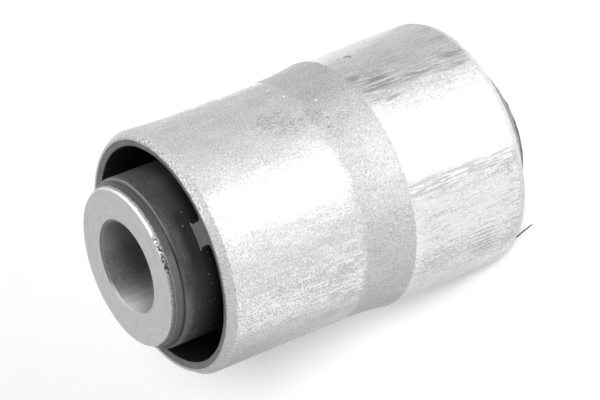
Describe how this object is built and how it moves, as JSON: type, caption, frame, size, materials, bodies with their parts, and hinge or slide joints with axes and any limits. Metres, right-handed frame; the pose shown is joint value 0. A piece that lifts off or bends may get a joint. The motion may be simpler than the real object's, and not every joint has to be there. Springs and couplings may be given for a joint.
{
  "type": "rubber metal bush",
  "caption": "Bonded rubber bush: a thick steel inner sleeve for a bolt, a moulded rubber body with recessed ends and webs, and a thin stepped steel outer sleeve to press into an eye.",
  "frame": {"origin": "centre of the inner sleeve's rear end face, on the axis of the bush", "axes": "+Z along the axis, from the rear end with the larger press seat to the front end with the smaller one; +Y and -Y through the rubber webs"},
  "size_m": [0.0394, 0.0394, 0.064],
  "materials": {
    "inner_sleeve": "bare turned steel, matte",
    "outer_sleeve": "bare drawn steel, grained, with press marks along the axis",
    "rubber_body": "moulded, matte, with a little dust"
  },
  "bodies": {
    "root": {"inner_sleeve": "inner_sleeve", "outer_sleeve": "outer_sleeve", "rubber_body": "rubber_body"}
  },
  "joints": []
}
